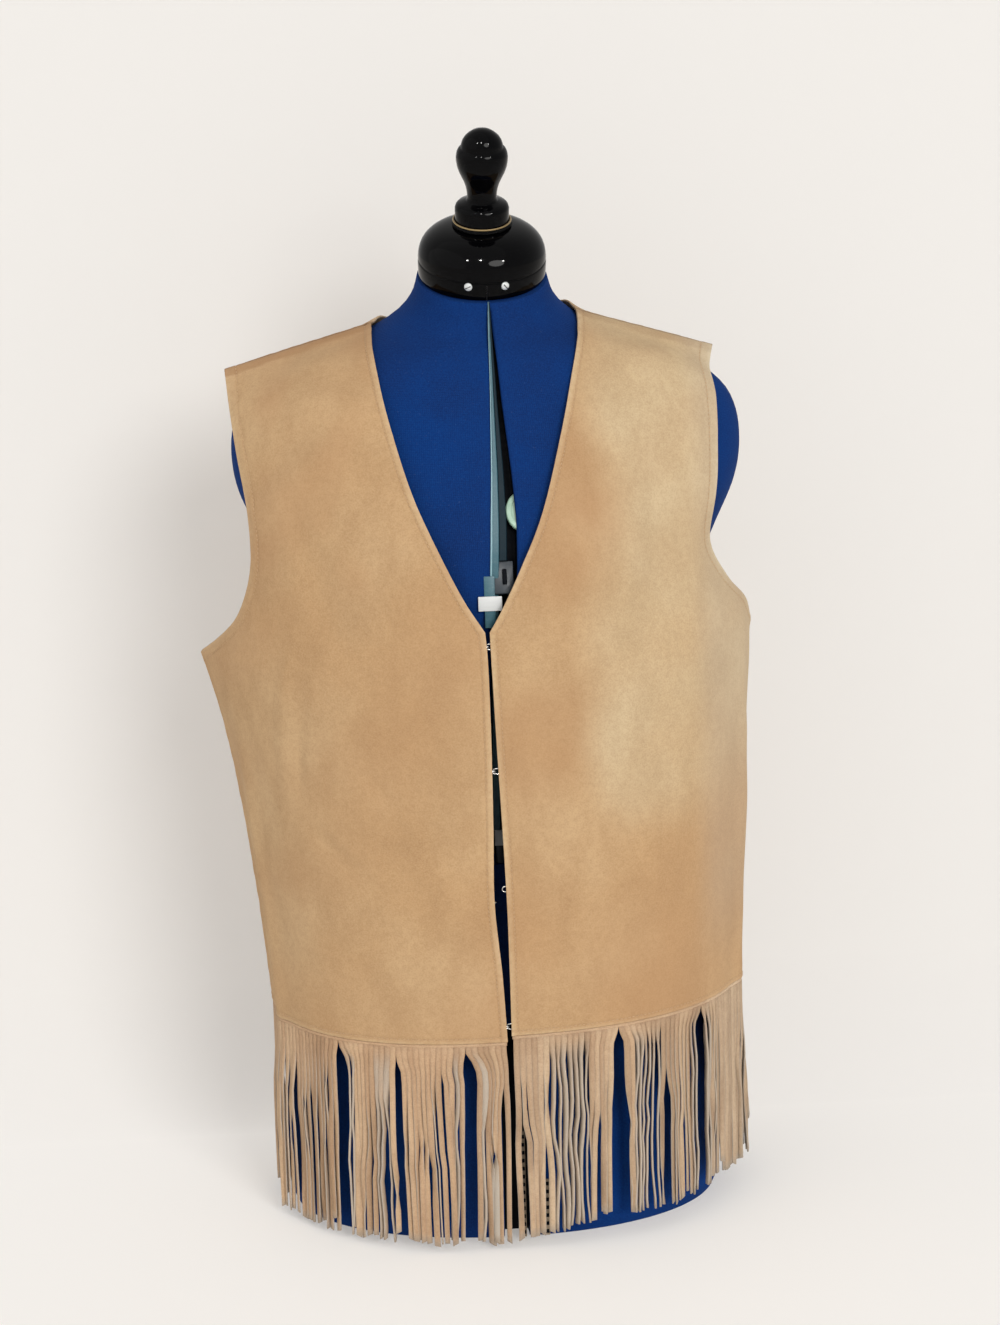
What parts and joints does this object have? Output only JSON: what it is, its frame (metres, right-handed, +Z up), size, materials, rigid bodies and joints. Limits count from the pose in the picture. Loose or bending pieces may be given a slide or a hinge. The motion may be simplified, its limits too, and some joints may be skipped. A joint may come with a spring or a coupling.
{
  "type": "fringed suede vest on dress form",
  "caption": "Sleeveless suede vest with a deep V neck and a long cut fringe below its hem, closed at the front by hooks and eyes, worn on a limbless dress form.",
  "frame": {"origin": "middle of the object's footprint, on the flat underside of the dress form", "axes": "+Z up, +X to the wearer's left, -Y to the front"},
  "size_m": [0.467, 0.2896, 0.9134],
  "materials": {
    "suede": "matt napped tan suede",
    "form_cloth": "close navy blue woven cover",
    "form_plastic": "polished black",
    "hook_wire": "bright nickelled wire"
  },
  "bodies": {
    "root": {"form_torso": "form_cloth", "form_neck_cap": "form_plastic", "form_finial": "form_plastic", "vest_front_right": "suede", "vest_front_left": "suede", "vest_back": "suede", "fringe_front_right": "suede", "fringe_front_left": "suede", "fringe_back": "suede", "hook_top": "hook_wire", "eye_top": "hook_wire", "hook_upper": "hook_wire", "eye_upper": "hook_wire", "hook_lower": "hook_wire", "eye_lower": "hook_wire", "hook_hem": "hook_wire", "eye_hem": "hook_wire"}
  },
  "joints": []
}
